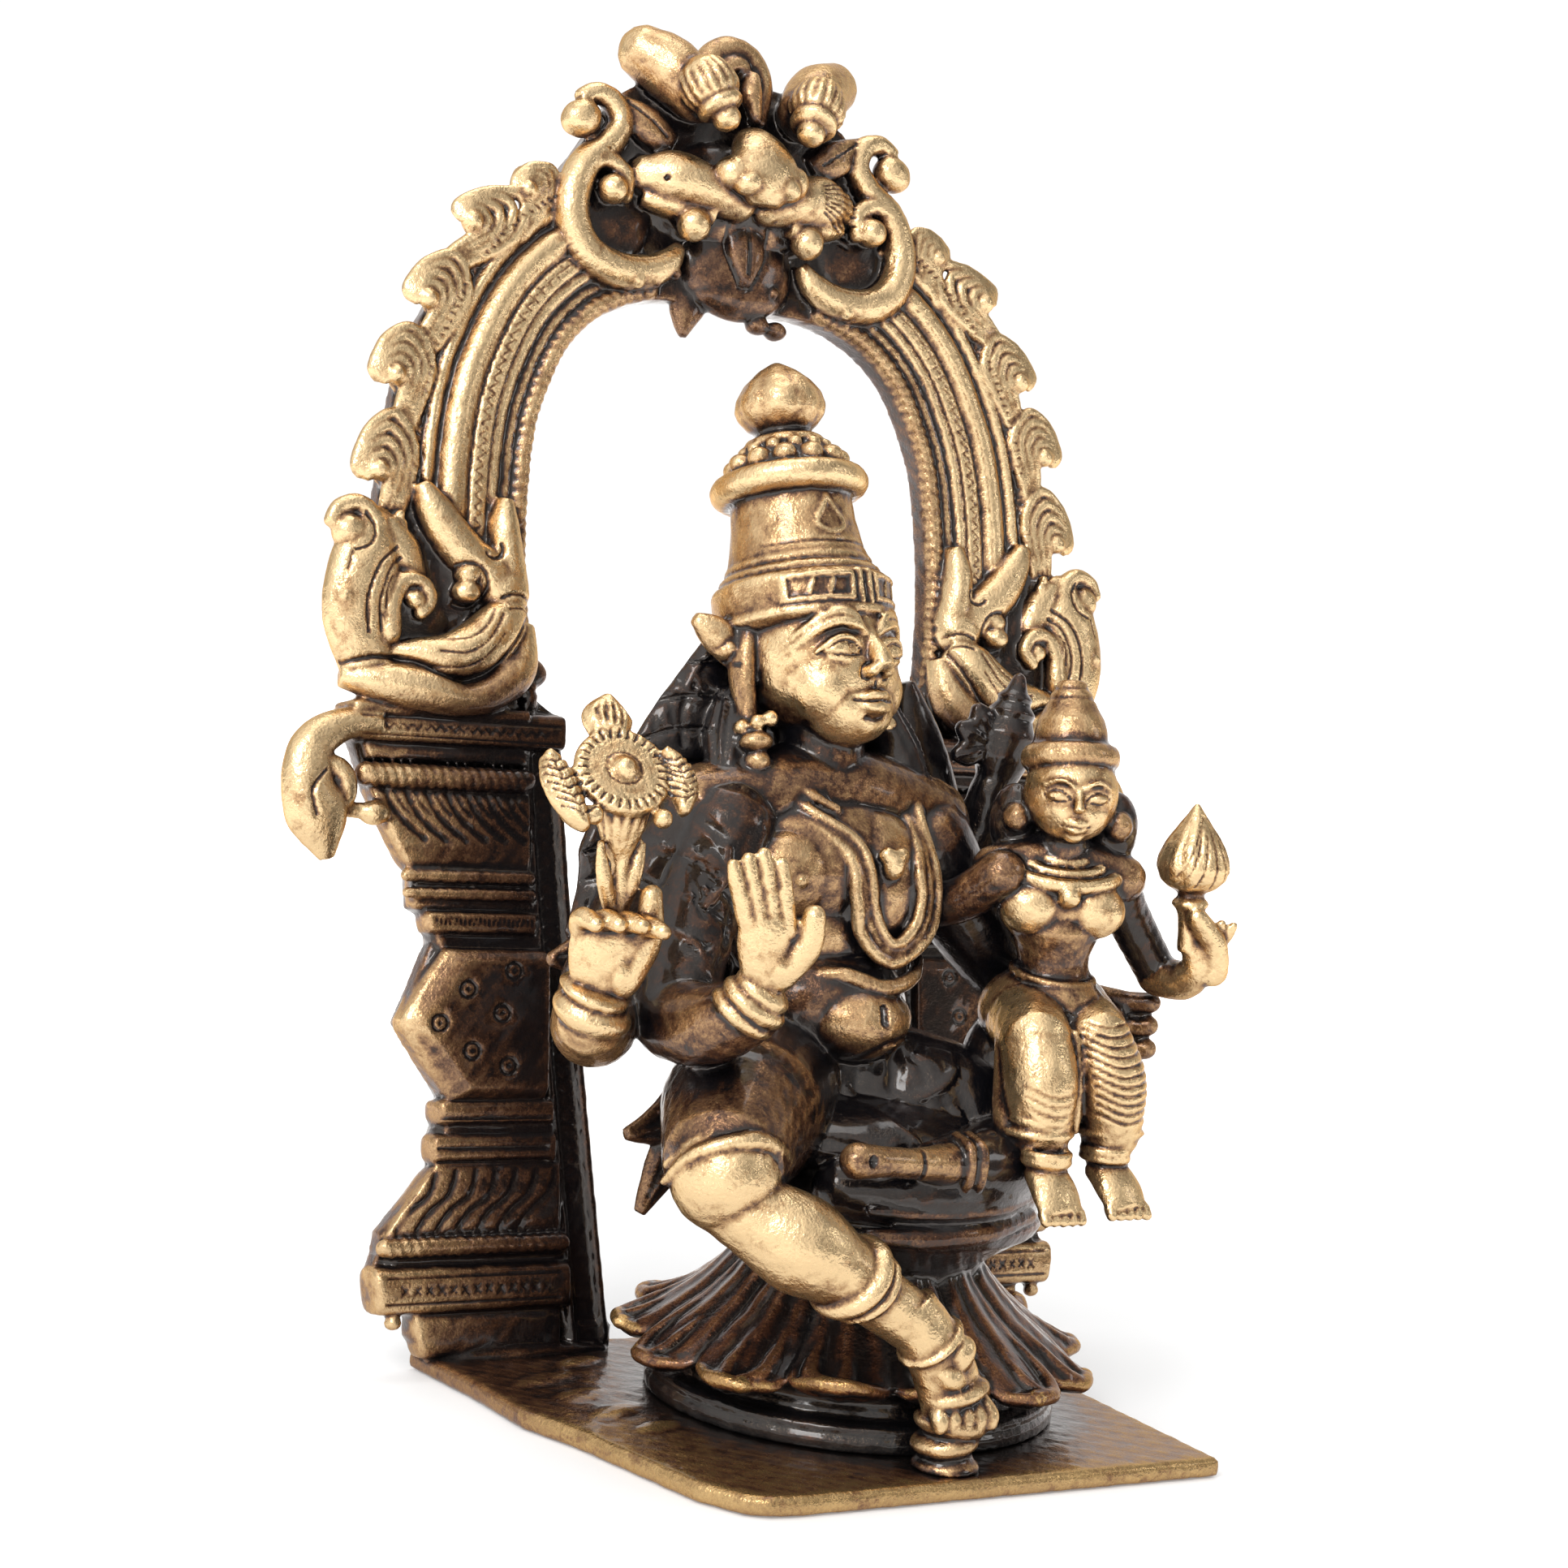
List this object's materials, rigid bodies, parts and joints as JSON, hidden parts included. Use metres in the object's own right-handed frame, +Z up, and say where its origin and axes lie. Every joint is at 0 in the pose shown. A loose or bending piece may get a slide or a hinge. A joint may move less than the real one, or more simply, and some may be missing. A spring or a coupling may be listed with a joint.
{
  "type": "lakshmi narayana statue",
  "caption": "Cast brass group of Vishnu seated on a lotus with Lakshmi on his left thigh, before an arched frame on pillars, all on a flat base plate.",
  "frame": {"origin": "on the underside of the base plate, on the arch's plane of symmetry, below the middle of the lotus seat", "axes": "+Z up, -Y to the front that the deities face, +X to the deities' left"},
  "size_m": [0.0818, 0.059, 0.1122],
  "materials": {
    "plate_brass": "cast, brown patina, rubbed bright at the edges",
    "patinated_brass": "cast, brown patina, relief rubbed bright",
    "antique_brass": "cast, black patina in the hollows, high points polished"
  },
  "bodies": {
    "root": {"base_plate": "plate_brass", "prabhavali_arch": "patinated_brass", "lakshmi_narayana": "antique_brass"}
  },
  "joints": []
}
